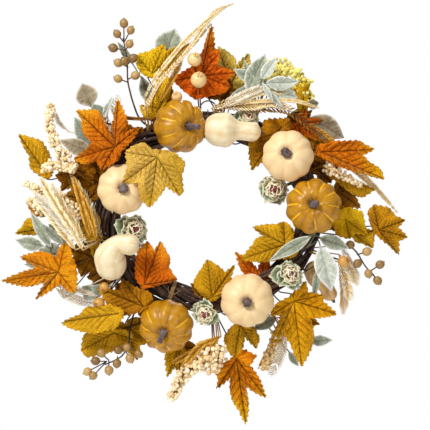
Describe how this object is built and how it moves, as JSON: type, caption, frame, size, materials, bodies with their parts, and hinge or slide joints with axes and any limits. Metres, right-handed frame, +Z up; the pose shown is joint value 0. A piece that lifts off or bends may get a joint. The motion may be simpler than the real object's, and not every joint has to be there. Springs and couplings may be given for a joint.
{
  "type": "harvest door wreath",
  "caption": "Oval grapevine ring dressed with small pumpkins, gourds, artichoke buds, autumn leaves, berry sprays and grasses, with a wire hanger loop at the back.",
  "frame": {"origin": "the point inside the top of the hanger loop where a nail or hook bears, at rest", "axes": "+Z up the door, +Y towards the door, +X to the right as seen from the front"},
  "size_m": [0.4917, 0.0993, 0.5155],
  "materials": {
    "bark": "rough dark vine bark",
    "raffia": "dull twisted raffia",
    "wire": "dull drawn wire",
    "gold_skin": "satin painted foam",
    "cream_skin": "satin painted foam",
    "dry_stem": "dry, rough",
    "ivory_skin": "satin painted foam",
    "artichoke_green": "powdery matte",
    "maple_orange": "printed polyester leaf",
    "maple_rust": "printed polyester leaf",
    "maple_amber": "printed polyester leaf",
    "ivy_ochre": "printed polyester leaf",
    "ivy_brown": "printed polyester leaf",
    "felt_green": "flocked, soft edge",
    "berry_tan": "lacquered berry",
    "seed_cream": "satin beads",
    "seed_lime": "satin beads",
    "straw": "dry grass"
  },
  "bodies": {
    "wreath": {"vine_core": "bark", "vine_strand_1": "bark", "vine_strand_2": "bark", "vine_strand_3": "bark", "vine_strand_4": "bark", "vine_tie": "raffia", "hanger_band": "wire", "gold_pumpkin_1": "gold_skin", "gold_pumpkin_2": "gold_skin", "gold_pumpkin_3": "gold_skin", "gold_stem_1": "dry_stem", "gold_stem_2": "dry_stem", "gold_stem_3": "dry_stem", "cream_stem_1": "dry_stem", "cream_stem_2": "dry_stem", "cream_stem_3": "dry_stem", "cream_pumpkin_1": "cream_skin", "cream_pumpkin_2": "cream_skin", "cream_pumpkin_3": "cream_skin", "gourd_1": "ivory_skin", "gourd_2": "ivory_skin", "gourd_3": "ivory_skin", "artichoke_1": "artichoke_green", "artichoke_2": "artichoke_green", "artichoke_3": "artichoke_green", "artichoke_4": "artichoke_green", "maple_top_left": "maple_orange", "maple_left": "maple_orange", "maple_bottom": "maple_orange", "maple_lower_right": "maple_amber", "maple_right": "maple_rust", "maple_top": "maple_rust", "maple_inner_left": "maple_rust", "ivy_upper_left": "ivy_ochre", "ivy_top_left": "ivy_ochre", "ivy_top": "ivy_ochre", "ivy_top_right": "ivy_ochre", "ivy_right": "ivy_ochre", "ivy_lower_right": "ivy_ochre", "ivy_inner_right": "ivy_ochre", "ivy_inner_bottom": "ivy_ochre", "ivy_bottom_left": "ivy_ochre", "ivy_left_high": "ivy_ochre", "ivy_left_low": "ivy_ochre", "ivy_lower_left": "ivy_brown", "felt_leaves_top": "felt_green", "felt_leaves_upper_left": "felt_green", "felt_leaves_left": "felt_green", "felt_leaves_right": "felt_green", "berry_spray_right": "berry_tan", "seed_spray_upper_left": "seed_cream", "seed_spray_left": "seed_cream", "seed_spray_bottom": "seed_cream", "seed_spray_top_right": "seed_lime", "plume_top": "straw", "plume_right": "straw", "plume_left": "straw"},
    "hanger": {"hanger_loop": "wire"},
    "top_spray": {"berry_spray_top": "berry_tan"},
    "bottom_spray": {"berry_spray_bottom": "berry_tan"}
  },
  "joints": [
    {"name": "hanger_loop_hinge", "type": "hinge", "parent": "wreath", "child": "hanger", "pos_m": [0, 0, -0.0291], "axis": [1, 0, 0], "range_deg": [-150, 12]},
    {"name": "top_spray_bend", "type": "hinge", "parent": "wreath", "child": "top_spray", "pos_m": [-0.07045, -0.01577, -0.02754], "axis": [0.9704, 0, 0.2416], "range_deg": [-3, 20]},
    {"name": "bottom_spray_bend", "type": "hinge", "parent": "wreath", "child": "bottom_spray", "pos_m": [-0.076, -0.02619, -0.24078], "axis": [-0.7788, 0, 0.6272], "range_deg": [-2, 18]}
  ]
}
